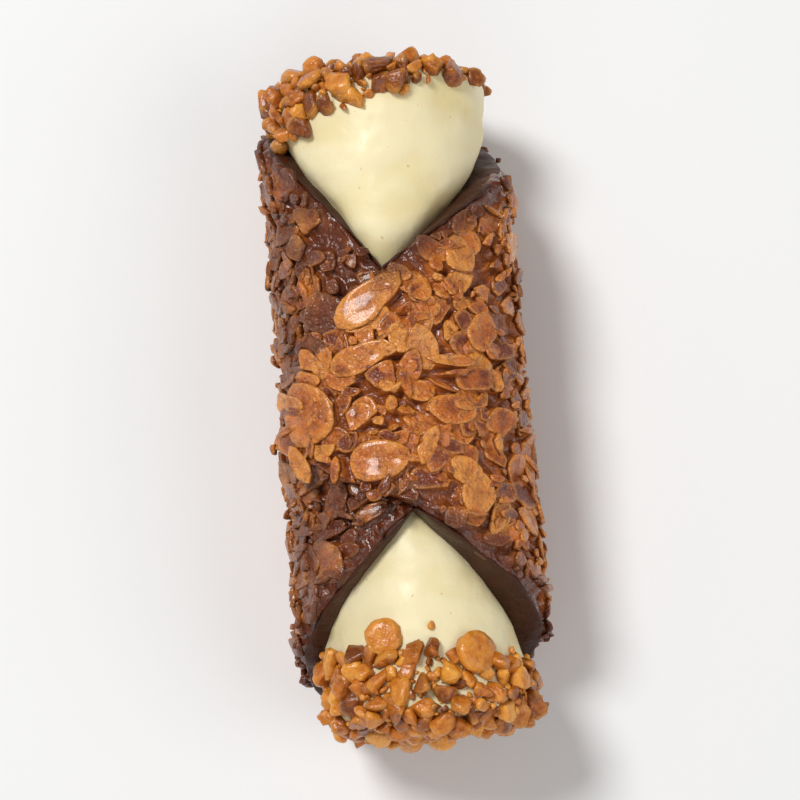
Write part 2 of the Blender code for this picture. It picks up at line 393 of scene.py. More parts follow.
class Look:
    """A Principled material and short ways to add nodes to it."""

    def __init__(self, name):
        self.material = bpy.data.materials.new(name)
        self.material.use_nodes = True
        self.tree = self.material.node_tree
        self.shader = self.tree.nodes["Principled BSDF"]

    def add(self, kind, **settings):
        made = self.tree.nodes.new(kind)
        for setting, value in settings.items():
            setattr(made, setting, value)
        return made

    def link(self, output, socket):
        self.tree.links.new(output, socket)
        return output

    def put(self, socket, value):
        """Links an output to a socket, or sets the socket's own value."""
        if isinstance(value, bpy.types.NodeSocket):
            self.link(value, socket)
        elif isinstance(value, tuple):
            socket.default_value = (*value[:3], 1.0)
        else:
            socket.default_value = value

    def mark(self, name):
        return self.add("ShaderNodeAttribute", attribute_name=name).outputs["Fac"]

    def place(self):
        return self.add("ShaderNodeTexCoord").outputs["Object"]

    def grain(self, size, detail=2.0, roughness=0.5):
        """Noise whose lumps are about this size, in metres."""
        made = self.add("ShaderNodeTexNoise")
        self.link(self.place(), made.inputs["Vector"])
        made.inputs["Scale"].default_value = 1 / size
        made.inputs["Detail"].default_value = detail
        made.inputs["Roughness"].default_value = roughness
        return made.outputs["Fac"]

    def stretch(self, value, low, high, to_low=0.0, to_high=1.0):
        made = self.add("ShaderNodeMapRange")
        self.link(value, made.inputs["Value"])
        made.inputs["From Min"].default_value = low
        made.inputs["From Max"].default_value = high
        made.inputs["To Min"].default_value = to_low
        made.inputs["To Max"].default_value = to_high
        return made.outputs["Result"]

    def calculate(self, operation, first, second):
        made = self.add("ShaderNodeMath", operation=operation)
        self.put(made.inputs[0], first)
        self.put(made.inputs[1], second)
        return made.outputs[0]

    def plus(self, first, second):
        return self.calculate("ADD", first, second)

    def times(self, first, second):
        return self.calculate("MULTIPLY", first, second)

    def cloud(self, strength, *grain):
        """Noise that goes as far below 0 as above it."""
        return self.times(self.plus(self.grain(*grain), -0.5), strength)

    def mix(self, share, low, high):
        made = self.add("ShaderNodeMix", data_type="RGBA")
        self.put(made.inputs["Factor"], share)
        self.put(made.inputs[6], low)
        self.put(made.inputs[7], high)
        return made.outputs[2]

    def ramp(self, value, *stops):
        """A blend through colours, each given with its place."""
        made = self.add("ShaderNodeValToRGB")
        self.link(value, made.inputs["Fac"])
        elements = made.color_ramp.elements
        while len(elements) < len(stops):
            elements.new(0.5)
        for element, (place, shade) in zip(elements, stops):
            element.position = place
            element.color = (*shade[:3], 1.0)
        return made.outputs["Color"]

    def bump(self, height, depth, strength=1.0, below=None):
        made = self.add("ShaderNodeBump")
        made.inputs["Strength"].default_value = strength
        made.inputs["Distance"].default_value = depth
        self.link(height, made.inputs["Height"])
        if below is not None:
            self.link(below, made.inputs["Normal"])
        return made.outputs["Normal"]

    def finish(self, colour_value, roughness, normal=None, coat=0.0, coat_roughness=0.1, soft=0.0, gloss=0.5):
        """Sets the shader. Soft is how much light goes into the material, and gloss how much it mirrors."""
        inputs = self.shader.inputs
        self.put(inputs["Base Color"], colour_value)
        self.put(inputs["Roughness"], roughness)
        if normal is not None:
            self.link(normal, inputs["Normal"])
        inputs["Specular IOR Level"].default_value = gloss
        inputs["Coat Weight"].default_value = coat
        inputs["Coat Roughness"].default_value = coat_roughness
        inputs["Coat IOR"].default_value = 1.5
        if soft:
            inputs["Subsurface Weight"].default_value = soft
            inputs["Subsurface Scale"].default_value = 0.002
            inputs["Subsurface Radius"].default_value = (1.0, 0.7, 0.4)
        return self.material


def chocolate_material(settings):
    look = Look("dark chocolate")
    cloud = look.grain(0.003, 3)
    shade = look.mix(cloud, tuple(settings.shade), tuple(part * 0.6 for part in settings.shade))
    roughness = look.stretch(look.grain(0.002, 2), 0.3, 0.7, 0.38, 0.6)
    waves = look.bump(look.grain(0.001, 3), 0.0003)
    return look.finish(shade, roughness, waves, gloss=0.25)


def caramel_material(settings, chocolate):
    look = Look("caramel sheet")
    # Darker towards the sheet's low spots: painted shade in the gaps between lumps and almonds, with noise
    # for the caramel's own uneven tone.
    depth = look.plus(look.mark("height"), look.cloud(1.3, 0.0018, 4, 0.6))
    shade = look.ramp(depth, (0.05, tuple(settings.dark_and_shaded_caramel)), (0.95, tuple(settings.caramel)))
    shade = look.mix(look.mark("smear"), shade, tuple(chocolate.smear))
    roughness = look.stretch(look.grain(0.0012, 2), 0.3, 0.7, 0.16, 0.4)
    bubbles = look.bump(look.grain(0.0005, 2), 0.00018)
    waves = look.bump(look.grain(0.0011, 2), 0.0004, below=bubbles)
    return look.finish(shade, roughness, waves, coat=0.36, coat_roughness=0.12, soft=0.05)


def almond_material(settings, chocolate):
    look = Look("caramelised almond")
    speckled = look.plus(look.mark("tone"), look.cloud(1.5, 0.0018, 4, 0.6))
    tone = look.plus(speckled, look.cloud(0.9, 0.007, 2))
    shade = look.ramp(
        tone,
        (0.0, tuple(settings.deep_and_shade)),
        (0.5, tuple(settings.amber)),
        (1.0, tuple(settings.golden)),
    )
    rim = look.mark("rim")
    heart = look.stretch(rim, 0.0, 0.6, 0.4, 0.0)
    edge = look.stretch(rim, 0.66, 0.92)
    gap = look.stretch(rim, 0.95, 1.0)
    shade = look.mix(heart, shade, tuple(settings.deep_and_shade))
    # Painted highlight: a lighter golden band just inside each flake's edge, where the edge catches the
    # light.
    shade = look.mix(look.times(edge, 0.6), shade, tuple(settings.golden))
    # Painted shade: each flake's outer side and underside are darkened where it meets the caramel.
    shade = look.mix(look.times(gap, 0.75), shade, tuple(part * 0.6 for part in settings.deep_and_shade))
    toasted = look.stretch(look.grain(0.0011, 3, 0.6), 0.52, 0.66)
    shade = look.mix(look.times(toasted, 0.55), shade, tuple(settings.deep_and_shade))
    shade = look.mix(look.mark("smear"), shade, tuple(chocolate.smear))
    roughness = look.stretch(look.grain(0.0011, 2), 0.3, 0.7, 0.22, 0.48)
    grain = look.bump(look.grain(0.0005, 2), 0.0002)
    waves = look.bump(look.grain(0.001, 2), 0.0005, below=grain)
    return look.finish(shade, roughness, waves, coat=0.34, coat_roughness=0.12, soft=0.08)


def cream_material(settings):
    look = Look("ivory cream")
    # Painted shade: the ripples' hollows are tinted towards the darker, yellower fold colour, with noise for
    # the cream's own uneven tone.
    folds = look.plus(look.mark("height"), look.cloud(0.5, 0.006, 2))
    shade = look.ramp(folds, (0.15, tuple(settings.shaded_fold)), (0.65, tuple(settings.ivory)))
    specks = look.stretch(look.grain(0.00075, 1), 0.75, 0.81)
    shade = look.mix(look.times(specks, 0.6), shade, tuple(settings.speck))
    roughness = look.stretch(look.grain(0.004, 2), 0.3, 0.7, 0.4, 0.62)
    silk = look.bump(look.grain(0.0018, 3), 0.00018, 0.7)
    return look.finish(shade, roughness, silk, coat=0.03, coat_roughness=0.3, soft=0.18)


def nut_material(settings):
    look = Look("caramelised nuts")
    shade = look.ramp(
        look.plus(look.mark("tone"), look.cloud(1.2, 0.0011, 4, 0.6)),
        (0.0, tuple(settings.toasted)),
        (0.5, tuple(settings.golden)),
        (1.0, tuple(settings.bright)),
    )
    # Painted highlight: the grains' corners and edges are lightened towards the bright colour.
    shade = look.mix(look.times(look.mark("rim"), 0.5), shade, tuple(settings.bright))
    # Painted shade: each grain's underside, deep between its neighbours and against the cream, is darkened
    # towards the toasted colour.
    shade = look.mix(look.times(look.mark("root"), 0.75), shade, tuple(settings.toasted))
    roughness = look.stretch(look.grain(0.0011, 2), 0.3, 0.7, 0.2, 0.44)
    grain = look.bump(look.grain(0.0004, 2), 0.00014)
    lumps = look.bump(look.grain(0.001, 2), 0.0003, below=grain)
    return look.finish(shade, roughness, lumps, coat=0.25, coat_roughness=0.12, soft=0.1)


# The almonds' places on the roll.


class Flake:
    """One slice of almond: where it lies on the sheet, how large it is and how it was broken."""

    BUCKLE = 0.00005
    SKIRT = 0.0003
    DEEPEST = 0.0006
    SHARPNESS = 40

    def __init__(
        self, turn, y, length, width, heading, rng, cuts=0, tilt=0.12, tone=0.5, lift=0.0, stoutness=1.0
    ):
        self.turn = turn
        self.y = y
        self.half_length = length / 2
        self.half_width = width / 2
        self.heading = heading
        self.tone = tone
        self.lift = lift
        self.stoutness = stoutness
        self.tilt = rng.normal(0, tilt, 2)
        self.cup = rng.normal(0.0, 8.0)
        self.cuts = [(rng.uniform(0, FULL_TURN), rng.uniform(0.5, 1.0)) for _ in range(cuts)]
        self.wobble = rng.normal(0, 0.03, 4)
        self.phase = rng.uniform(0, FULL_TURN, 4)
        self.point = rng.uniform(0.05, 0.2)
        self.waves = rng.normal(0, 1500, (3, 2))
        self.wave_phase = rng.uniform(0, FULL_TURN, 3)

    @property
    def reach(self):
        return (self.half_length + self.half_width) / 2

    def outline(self, around):
        """The distance to the edge in each direction."""
        edge = self.half_width / np.hypot(np.sin(around), np.cos(around) * self.half_width / self.half_length)
        edge *= 1 - self.point * np.cos(around) * np.abs(np.sin(around))
        for i, (size, phase) in enumerate(zip(self.wobble, self.phase)):
            edge *= 1 + size * np.cos((i + 2) * around + phase)
        for direction, share in self.cuts:
            facing = np.maximum(np.cos(around - direction), 1e-3)
            cut = share * self.half_width / facing
            edge = (edge**-self.SHARPNESS + cut**-self.SHARPNESS) ** (-1 / self.SHARPNESS)
        return edge

    def rise(self, along, across):
        """How the flake leans, cups and buckles above its resting height."""
        waves = zip(self.waves, self.wave_phase)
        buckled = sum(np.sin(along * wave[0] + across * wave[1] + phase) for wave, phase in waves)
        leaning = self.lift + self.tilt[0] * along + self.tilt[1] * across
        return leaning + self.cup * across**2 + self.BUCKLE * buckled

    def shape(self, thickness, base, rings, count):
        """The flake's points on the roll, ring by ring, and how near the edge each is."""
        around = np.linspace(0, FULL_TURN, count, endpoint=False)
        share = np.array([ring[0] for ring in rings])[:, None]
        height = np.array([ring[1] for ring in rings])[:, None]
        reach = self.outline(around) * share
        along, across = reach * np.cos(around), reach * np.sin(around)
        cos, sin = math.cos(self.heading), math.sin(self.heading)
        turn = self.turn + (along * cos - across * sin) / (INNER_RADIUS + base)
        y = self.y + along * sin + across * cos
        rise = self.rise(along, across)
        top = base + thickness * self.stoutness * height + rise
        gap = rise - 0.3 * thickness
        under = base - self.SKIRT + (gap + self.SKIRT) * smooth_step(0.0002, 0.0006, gap)
        layer = np.where(height < 0, under, top)
        radius = roll_radius(turn, y) + np.maximum(layer, base - self.DEEPEST)
        return turn, y, radius, np.broadcast_to(np.where(height < 0, 1.0, share / 1.03), turn.shape)

    def cover(self, turn, y, thickness, base):
        """How high the flake stands over the sheet's inner face. Beside the flake this is only the base."""
        a = (turn - self.turn) * (INNER_RADIUS + base)
        b = y - self.y
        cos, sin = math.cos(self.heading), math.sin(self.heading)
        along, across = a * cos + b * sin, b * cos - a * sin
        inside = np.hypot(along, across) < self.outline(np.arctan2(across, along))
        return np.where(inside, base + thickness * self.stoutness + self.rise(along, across), base)


def under_flap(turn, y, margin):
    """Whether the outer flap covers a point of the inner layer by more than this margin."""
    above = turn + FULL_TURN
    return above < WHOLE_TURN and edge_distance(above, y) > margin


class AlmondKind:
    """One size of almond: how many, how long and how slender, how broken, how close, and how it lies."""

    OVERHANG = 0.0003
    FLAP_OVERHANG = 0.0009
    FLAP_TURN = 7.3
    TRIES = 60

    def __init__(self, wanted, lengths, aspects, cuts, apart, lift, tilt, stoutness=1.0):
        self.wanted = wanted
        self.lengths = lengths
        self.aspects = aspects
        self.cuts = cuts
        self.apart = apart
        self.lift = lift
        self.tilt = tilt
        self.stoutness = stoutness

    def random_flake(self, rng, whole_length):
        turn = rng.uniform(0.3, WHOLE_TURN)
        y = rng.uniform(-SHELL_HALF_LENGTH, SHELL_HALF_LENGTH)
        size = whole_length * rng.uniform(*self.lengths)
        overhang = self.FLAP_OVERHANG if turn > self.FLAP_TURN else self.OVERHANG
        if edge_distance(turn, y) < 0.35 * size - overhang or under_flap(turn, y, 0.25 * size):
            return None
        if turn > WHOLE_TURN - 0.2 * size / INNER_RADIUS:
            return None
        return Flake(
            turn,
            y,
            size,
            size * rng.uniform(*self.aspects),
            rng.uniform(0, FULL_TURN),
            rng,
            cuts=int(rng.integers(self.cuts[0], self.cuts[1] + 1)),
            tilt=self.tilt,
            tone=float(np.clip(rng.normal(0.45, 0.3), 0, 1)),
            lift=self.lift + rng.uniform(0, 0.0006),
            stoutness=self.stoutness,
        )

    def scatter(self, rng, whole_length, ready):
        """Flakes of this kind, kept clear of the ones that are ready."""
        flakes = []
        taken = np.array([(other.turn, other.y, other.reach) for other in ready]).reshape(-1, 3)
        for _ in range(self.wanted * self.TRIES):
            flake = self.random_flake(rng, whole_length)
            if flake is None:
                continue
            a = (flake.turn - taken[:, 0]) * INNER_RADIUS
            b = flake.y - taken[:, 1]
            room = self.apart * (flake.reach + taken[:, 2])
            if np.all(a * a + b * b >= room * room):
                flakes.append(flake)
                taken = np.vstack((taken, (flake.turn, flake.y, flake.reach)))
            if len(flakes) == self.wanted:
                break
        return flakes


# The slices that stand out. Each has an angle round the tube, a place along it, a length and a width in
# millimetres, a heading, and a tone.
STANDING_OUT = (
    (-9, 9.4, 8.6, 3.5, 135, 0.75),
    (-14, 3.0, 6.4, 3.1, 160, 0.7),
    (-42, -2.3, 7.6, 6.2, 73, 0.42),
    (-9, -8.6, 5.6, 4.6, 160, 0.65),
    (31, -13.0, 5.0, 3.6, 100, 0.95),
    (26, -10.4, 3.8, 2.8, 60, 0.9),
    (31, 14.2, 4.4, 3.0, 80, 0.85),
    (3, 4.8, 3.6, 2.2, 80, 1.0),
    (-47, -7.8, 5.2, 1.8, 65, 0.9),
    (11, -7.4, 4.6, 1.6, 110, 0.9),
    (24, 2.0, 4.8, 1.3, 8, 0.85),
    (22, -3.5, 4.6, 3.4, 20, 0.5),
    (40, 5.5, 5.0, 3.2, 110, 0.6),
)


def laid_almonds(settings):
    """Slices and crumbs. The large slices find their places first, and the smaller ones fill the room."""
    rng = np.random.default_rng(41)
    slices = []
    for degrees, along, size, width, heading, tone in STANDING_OUT:
        turn = INNER_CORNER_ANGLE - math.radians(degrees) + FULL_TURN
        place = (turn, along * MM, size * MM, width * MM, math.radians(heading))
        slices.append(Flake(*place, rng, tilt=0.05, tone=tone, lift=0.00095))
    strips = {"lift": 0.0005, "tilt": 0.12, "stoutness": 1.4}
    kinds = (
        AlmondKind(settings.full_slices, (0.72, 1.0), (0.6, 0.74), (0, 1), 0.75, lift=0.0004, tilt=0.08),
        AlmondKind(settings.pieces, (0.34, 0.74), (0.45, 0.85), (1, 4), 0.4, lift=0.0003, tilt=0.14),
        AlmondKind(settings.slivers, (0.28, 0.62), (0.14, 0.26), (0, 1), 0.26, **strips),
    )
    for kind in kinds:
        slices += kind.scatter(rng, settings.slice_length, slices)
    bits = AlmondKind(settings.crumbs, (0.12, 0.28), (0.4, 0.9), (1, 3), 0.4, lift=0.0006, tilt=0.3)
    return slices, bits.scatter(rng, settings.slice_length, slices)


# The brittle sheet.


class CANNOLO_OT_brittle(Operator):
    """Roll the caramel sheet that holds the almonds"""

    bl_idname = "cannolo.brittle"
    bl_label = "Brittle Sheet"

    STATIONS = 400
    OUTSIDE = 200
    INSIDE = 10

    def execute(self, context):
        settings = context.scene.cannolo_brittle
        turn = np.linspace(0, WHOLE_TURN, self.STATIONS)[:, None]
        near, far = self.ragged(NEAR, turn, settings), self.ragged(FAR, turn, settings)
        half = np.hypot((far - near) / 2, CORNER_WIDTH)
        middle = (near + far) / 2
        outer_y = middle + half * np.linspace(-1, 1, self.OUTSIDE)
        inner_y = middle + half * np.linspace(1, -1, self.INSIDE)

        flat = unrolled(turn, outer_y)
        lumps = np.clip(cells(flat, 0.0022, 1) * 1.6, 0, 1) * 0.8 + 0.35 * wander(flat, 0.0045, 2)
        lumps += 0.2 * wander(flat, 0.0012, 5)
        pooled = self.pooled(turn, outer_y, flat, context.scene)
        rim = np.minimum(outer_y - outer_y[:, :1], outer_y[:, -1:] - outer_y)
        rounding = np.sqrt(1 - (1 - np.clip(rim / 0.0009, 0, 1)) ** 2)
        thickness = settings.thickness + settings.relief * (lumps - 0.5) + pooled
        radius = roll_radius(turn, outer_y) + thickness * mixed(0.45, 1.0, rounding)

        outside = on_tube(angle_at(turn), outer_y, flattened(turn, radius))
        inside = on_tube(angle_at(turn), inner_y, roll_radius(turn, inner_y))
        points = np.concatenate((outside, inside), axis=1)
        count = self.OUTSIDE + self.INSIDE
        faces = tube_faces(self.STATIONS, count)
        faces.append(tuple(range(count)))
        faces.append(tuple(range((self.STATIONS - 1) * count, self.STATIONS * count)))
        plain = np.zeros_like(inner_y + turn)
        # The height mark sets the painted shade in the caramel's low spots.
        marks = {
            "height": np.concatenate((0.5 * lumps + pooled / 0.0014, plain), axis=1),
            "smear": np.concatenate((chocolate_smear(turn, outer_y), plain + 1), axis=1),
        }
        piece = make_piece("brittle_sheet", points, faces, marks)
        fit(piece, caramel_material(settings, context.scene.cannolo_chocolate), "brittle", "brittle_shell")
        return {"FINISHED"}

    @staticmethod
    def pooled(turn, y, flat, scene):
        """How far caramel has pooled between the almonds and crept up over them."""
        almonds, base = scene.cannolo_almonds, scene.cannolo_brittle.thickness
        top = np.full(y.shape, base)
        slices, crumbs = laid_almonds(almonds)
        for flake in slices + crumbs:
            rows = np.abs(turn[:, 0] - flake.turn) * INNER_RADIUS < flake.half_length
            height = flake.cover(turn[rows], y[rows], almonds.slice_thickness, base)
            top[rows] = np.maximum(top[rows], height)
        for _ in range(3):
            around = np.pad(top, 1, mode="edge")
            beside = around[:-2, 1:-1] + around[2:, 1:-1] + around[1:-1, :-2] + around[1:-1, 2:]
            top = (beside + 2 * top) / 6
        drowned = almonds.glaze + 0.3 * wander(flat, 0.004, 20)
        return (top - base) * np.clip(drowned, 0.4, 1.15)

    @staticmethod
    def ragged(notch, turn, settings):
        """The sheet's edge with the unevenness of broken brittle."""
        along = np.concatenate((turn * INNER_RADIUS, np.full_like(turn, notch.side), turn * 0), axis=-1)
        uneven = wander(along, 0.005, 8)[:, None] + 0.6 * wander(along, 0.0016, 9)[:, None]
        return sheet_edge(notch, turn) + settings.ragged_edge * uneven


# The almonds in it.


class CANNOLO_OT_almonds(Operator):
    """Scatter sliced almonds over the brittle and glaze them"""

    bl_idname = "cannolo.almonds"
    bl_label = "Sliced Almonds"

    # Each ring of points is a share of the way to the flake's edge and a share of its thickness.
    SLICE_RINGS = (
        (0.0, 0.78),
        (0.36, 0.8),
        (0.68, 0.86),
        (0.9, 1.0),
        (0.98, 0.84),
        (1.03, 0.4),
        (0.96, -0.3),
    )
    SMALL_RINGS = ((0.0, 1.0), (0.6, 1.0), (0.9, 0.9), (1.03, 0.3), (0.96, -0.3))

    def execute(self, context):
        almonds = context.scene.cannolo_almonds
        slices, crumbs = laid_almonds(almonds)
        broad = [flake for flake in slices if flake.stoutness == 1.0]
        slivers = [flake for flake in slices if flake.stoutness != 1.0]
        material = almond_material(almonds, context.scene.cannolo_chocolate)
        self.build("almond_slices", broad, self.SLICE_RINGS, 20, material, context.scene)
        self.build("almond_slivers", slivers, self.SMALL_RINGS, 20, material, context.scene)
        self.build("almond_crumbs", crumbs, self.SMALL_RINGS, 12, material, context.scene)
        return {"FINISHED"}

    @staticmethod
    def build(name, flakes, rings, corners, material, scene):
        points, faces, tones, rims, smears = [], [], [], [], []
        size = len(rings) * corners
        for i, flake in enumerate(flakes):
            turn, y, radius, rim = flake.shape(
                scene.cannolo_almonds.slice_thickness, scene.cannolo_brittle.thickness, rings, corners
            )
            radius = flattened(turn, radius)
            points.append(on_tube(angle_at(turn), y, radius))
            faces += tube_faces(len(rings), corners, i * size)
            faces.append(tuple(range((i + 1) * size - corners, (i + 1) * size)))
            tones.append(np.full(turn.shape, flake.tone))
            rims.append(rim)
            smears.append(chocolate_smear(turn, y) * 0.92)
        marks = {"tone": np.array(tones), "rim": np.array(rims), "smear": np.array(smears)}
        piece = make_piece(name, np.array(points), faces, marks)
        clean(piece)
        fit(piece, material, "brittle")


def clean(piece):
    """Joins the points that share one place, such as the middle of each flake."""
    shaped = bmesh.new()
    shaped.from_mesh(piece.data)
    bmesh.ops.remove_doubles(shaped, verts=shaped.verts, dist=1e-7)
    bmesh.ops.recalc_face_normals(shaped, faces=shaped.faces)
    shaped.to_mesh(piece.data)
    shaped.free()


# The chocolate.


class CANNOLO_OT_chocolate(Operator):
    """Coat the inside with chocolate and turn it over the edges of the notches"""

    bl_idname = "cannolo.chocolate"
    bl_label = "Chocolate Coat"

    COLUMNS = 420
    STATIONS = 26
    BEHIND = 0.0001
    INSET = 0.0003

    def execute(self, context):
        settings = context.scene.cannolo_chocolate
        brittle = context.scene.cannolo_brittle
        angle = np.linspace(0, FULL_TURN, self.COLUMNS, endpoint=False)[:, None]
        inner = INNER_RADIUS - self.INSET - settings.thickness
        outer = INNER_RADIUS - self.BEHIND
        starts = {notch.side: notch.edge(angle) for notch in (FAR, NEAR)}
        share = np.linspace(0, 1, self.STATIONS)
        y = mixed(-starts[-1], starts[1], share)
        wall = on_tube(angle, y, inner + spread(angle, y))
        wall_noise = wander(wall, 0.003, 6) * 0.00012
        wall = on_tube(angle, y, inner + spread(angle, y) + wall_noise)
        back_y = mixed(starts[1], -starts[-1], share)
        back = on_tube(angle, back_y, outer + spread(angle, back_y))
        points = np.concatenate(
            (
                wall,
                self.rim(angle, FAR, starts[1], inner, settings, brittle),
                back[:, 1:-1],
                self.rim(angle, NEAR, starts[-1], inner, settings, brittle)[:, ::-1],
            ),
            axis=1,
        )
        count = points.shape[1]
        faces = tube_faces(self.COLUMNS, count)
        last = (self.COLUMNS - 1) * count
        for i in range(count):
            j = (i + 1) % count
            faces.append((last + i, last + j, j, i))
        piece = make_piece("chocolate_coat", points, faces)
        fit(piece, chocolate_material(settings), "chocolate", "chocolate_lining")
        return {"FINISHED"}

    @staticmethod
    def rim(angle, notch, start, inner, settings, brittle):
        """A rounded bead on the brittle's edge: from the inner wall, over the edge, and back outside."""
        past = wrapped(angle - notch.angle)
        lift = np.where(past > 0, 1 - smooth_step(LIFT_ENDS_ANGLE, LIFT_STARTS_ANGLE, past), 0.0) * SHEET_STEP
        on_edge = on_tube(angle, notch.side * start, INNER_RADIUS)[:, 0]
        uneven = wander(on_edge, 0.004, 10)[:, None] + 0.7 * wander(on_edge, 0.0014, 11)[:, None]
        opened = spread(angle, start)
        low = inner + opened
        high = INNER_RADIUS + opened + brittle.thickness + lift - 0.0001 + 0.0003 * uneven
        tip = start + 0.0003 + 0.0003 * uneven
        reach = settings.rim_reach * np.clip(1 + 1.2 * uneven, 0.15, 2.5)
        middle = (low + high) / 2
        half = (high - low) / 2
        bend = np.linspace(-math.pi / 2, math.pi / 2, 12)[1:]
        y_round = start + (tip - start) * np.cos(bend) ** 0.7
        r_round = middle + half * np.sin(bend)
        slide = np.linspace(0, 1, 6)[1:]
        y_over = start - reach * slide
        r_over = high - 0.0004 * slide**3
        under_y = np.concatenate((start - reach * 0.9, start - 0.0002 + reach * 0), axis=1)
        under_r = np.concatenate((high - 0.0009, INNER_RADIUS + opened - 0.0001), axis=1)
        y = np.concatenate((y_round, y_over, under_y), axis=1)
        radius = np.concatenate((r_round, r_over, under_r), axis=1)
        return on_tube(angle, notch.side * y, radius)


# The cream.


def cream_radius(angle, y, crown):
    """The cream fits inside the lining, and changes its width and rises where a notch leaves it free."""
    values = []
    for notch in (FAR, NEAR):
        free = np.abs(y) - notch.edge(angle, CREAM_BLUNTNESS)
        swell = notch.swell + notch.sway * np.sin(angle) + crown * (1 + np.cos(angle)) / 2
        values.append((swell + CREAM_LIP) * (1 - np.exp(-np.maximum(free, 0) / CREAM_ROUNDING)))
    swell = np.where(y > 0, values[0], values[1])
    return INNER_RADIUS - CREAM_GAP + spread(angle, y) + swell


def cream_point(side, angle, travel, crown):
    """Points near one end. Travel is 0 at the end's middle and 1 at its shoulder, and from there it grows by
    1 for each shoulder's length back along the tube."""
    shoulder_y = CREAM_HALF_LENGTH - CREAM_SHOULDER
    slant = np.clip(1 - travel, 0, 1) * math.pi / 2
    past = np.maximum(travel - 1, 0) * CREAM_SHOULDER
    y = side * (shoulder_y + CREAM_SHOULDER * np.sin(slant) ** (2 / SQUARENESS) - past)
    radius = cream_radius(angle, side * (shoulder_y - past), crown) * np.cos(slant) ** (2 / SQUARENESS)
    return on_tube(angle, y, radius)


class CANNOLO_OT_cream(Operator):
    """Pipe the cream through the tube"""

    bl_idname = "cannolo.cream"
    bl_label = "Cream Filling"

    COLUMNS = 240
    END_RINGS = 20
    STATIONS = 220

    def execute(self, context):
        settings = context.scene.cannolo_cream
        angle = np.linspace(0, FULL_TURN, self.COLUMNS, endpoint=False)[None, :]
        travel = np.linspace(0.02, 1, self.END_RINGS)[:, None]
        shoulder_y = CREAM_HALF_LENGTH - CREAM_SHOULDER
        y = np.linspace(-shoulder_y, shoulder_y, self.STATIONS)[1:-1, None]
        body = on_tube(angle, y, cream_radius(angle, y, settings.crown))
        near = cream_point(-1, angle, travel, settings.crown)
        far = cream_point(1, angle, travel, settings.crown)
        points = np.concatenate((near, body, far[::-1]), axis=0)
        points, waves = self.rippled(points, settings)
        stations = points.shape[0]
        points = points.reshape(-1, 3)
        poles = on_tube(0.0, np.array((-CREAM_HALF_LENGTH, CREAM_HALF_LENGTH)), 0.0)
        faces = tube_faces(stations, self.COLUMNS)
        faces += fan_faces(len(points), 0, self.COLUMNS)
        faces += fan_faces(len(points) + 1, (stations - 1) * self.COLUMNS, self.COLUMNS)
        # The height mark sets the painted shade in the ripples' hollows.
        marks = {"height": np.concatenate((waves.ravel(), (0.5, 0.5)))}
        piece = make_piece("piped_cream", np.concatenate((points, poles)), faces, marks)
        fit(piece, cream_material(settings), "cream", "cream_filling")
        return {"FINISHED"}

    @staticmethod
    def rippled(points, settings):
        """Adds long soft folds across the cream, and smaller swirls, pushed out from the tube's axis."""
        stretched = points * (1.0, 1.7, 1.0)
        folds = wander(stretched, 0.0085, 12) + 0.45 * wander(stretched, 0.0036, 13)
        folds += 0.15 * wander(points, 0.0015, 14)
        axis = points * (0, 1, 0) + (0, 0, AXIS_HEIGHT)
        out = points - axis
        far_out = np.linalg.norm(out, axis=-1, keepdims=True)
        push = settings.ripple * folds[..., None] * np.clip(far_out / 0.006, 0, 1)
        moved = points + out / np.maximum(far_out, 1e-6) * push
        return moved, np.clip(0.5 + 0.5 * folds, 0, 1)


# The nuts.

# Clear space between the nuts and the shell's edge.
RIM_CLEARANCE = 0.0022


def nut_edge(notch, angle):
    """How far the nuts travel from the middle of the end, clear of the shell and its rim."""
    rim = notch.edge(angle) + RIM_CLEARANCE
    reach = notch.nut_reach + notch.nut_lean * np.sin(angle)
    y = np.maximum(CREAM_HALF_LENGTH - reach, np.minimum(rim, CREAM_HALF_LENGTH - CREAM_SHOULDER / 3))
    shoulder_y = CREAM_HALF_LENGTH - CREAM_SHOULDER
    over = np.clip((y - shoulder_y) / CREAM_SHOULDER, 0, 1)
    on_face = 1 - np.arcsin(over ** (SQUARENESS / 2)) * 2 / math.pi
    return np.where(y <= shoulder_y, 1 + (shoulder_y - y) / CREAM_SHOULDER, on_face)


